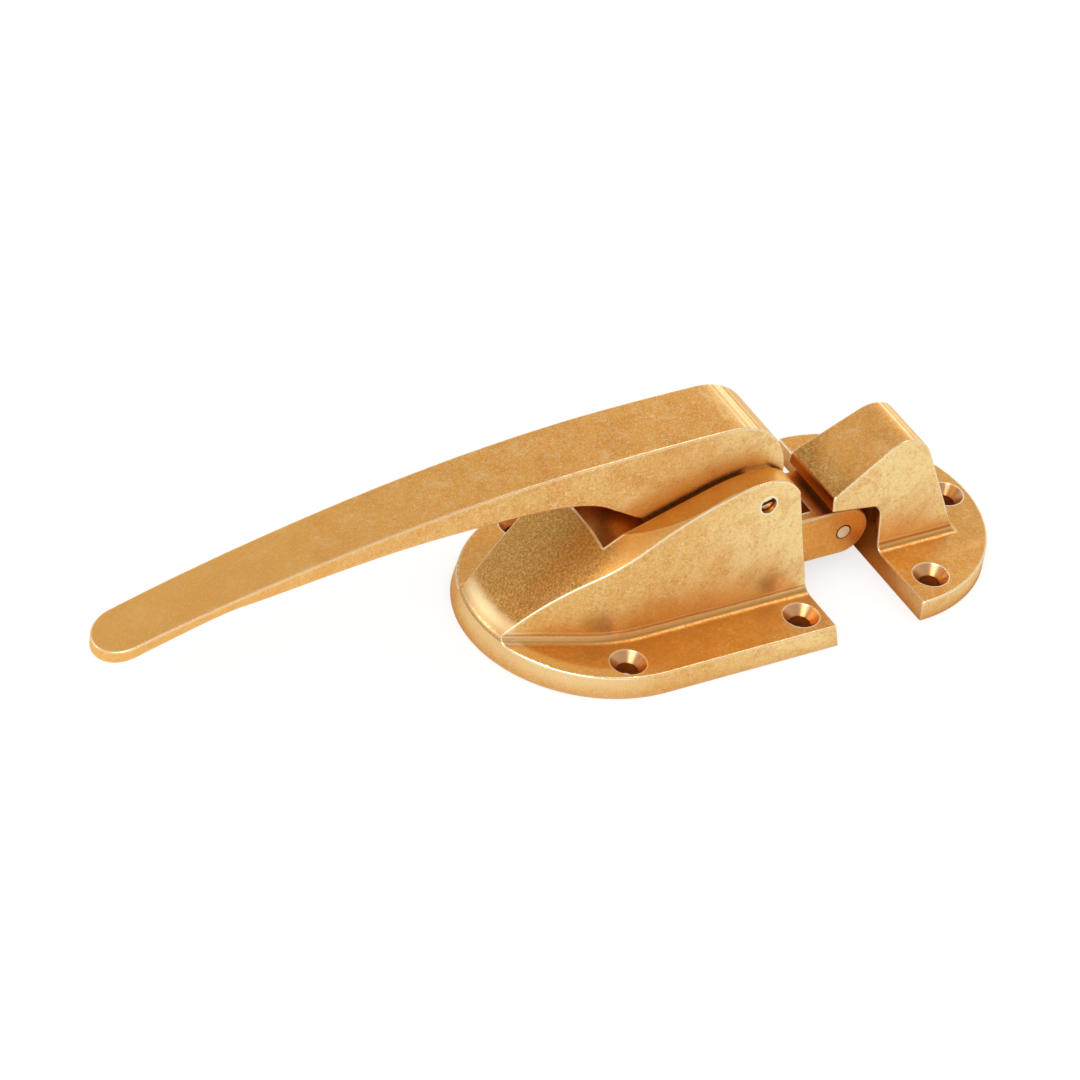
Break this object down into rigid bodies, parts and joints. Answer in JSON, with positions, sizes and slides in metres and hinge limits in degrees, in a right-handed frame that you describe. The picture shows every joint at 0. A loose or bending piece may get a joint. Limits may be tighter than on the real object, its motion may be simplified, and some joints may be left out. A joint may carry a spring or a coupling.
{
  "type": "flush latch",
  "caption": "Cast brass lever latch with a spring-loaded roller tongue and its half-round strike.",
  "frame": {"origin": "centre of the latch body's screw pattern, on its flat back", "axes": "+X from the lever's tip towards the strike, +Y across the latch, +Z out of the door"},
  "size_m": [0.2733, 0.079, 0.0599],
  "materials": {
    "latch_body": "cast, ground edges, unlacquered",
    "handle": "cast and ground, unlacquered",
    "tongue": "machined and ground",
    "strike": "cast and ground, unlacquered",
    "back_cover": "rolled plate, satin",
    "cover_screws": "turned",
    "handle_bush": "turned bearing bronze",
    "roller_bush": "turned bearing bronze",
    "near_thrust_washer": "stamped bronze",
    "far_thrust_washer": "stamped bronze",
    "pivot_pin": "turned",
    "roller": "turned and polished",
    "roller_pin": "turned",
    "spring_guide_rod": "turned",
    "spring_washer": "stamped",
    "tongue_spring": "drawn spring wire"
  },
  "bodies": {
    "base_body": {"latch_body": "latch_body", "back_cover": "back_cover", "cover_screws": "cover_screws", "pivot_pin": "pivot_pin", "spring_guide_rod": "spring_guide_rod", "strike": "strike"},
    "lever_body": {"handle": "handle", "handle_bush": "handle_bush", "near_thrust_washer": "near_thrust_washer", "far_thrust_washer": "far_thrust_washer"},
    "tongue_body": {"tongue": "tongue", "roller_pin": "roller_pin", "spring_washer": "spring_washer", "tongue_spring": "tongue_spring"},
    "roller_body": {"roller": "roller", "roller_bush": "roller_bush"}
  },
  "joints": [
    {"name": "handle_pivot", "type": "hinge", "parent": "base_body", "child": "lever_body", "pos_m": [0.0189, 0, 0.0377], "axis": [0, 1, 0], "range_deg": [0, 40]},
    {"name": "tongue_slide", "type": "slide", "parent": "base_body", "child": "tongue_body", "axis": [-1, 0, 0], "range_m": [0, 0.0163], "deforming": ["tongue_spring"]},
    {"name": "roller_spin", "type": "hinge", "parent": "tongue_body", "child": "roller_body", "pos_m": [0.05255, 0, 0.0124], "axis": [0, 1, 0], "continuous": true}
  ],
  "couplings": [
    {"joint": "tongue_slide", "follows": "handle_pivot", "m_per_rad": 0.02329}
  ]
}
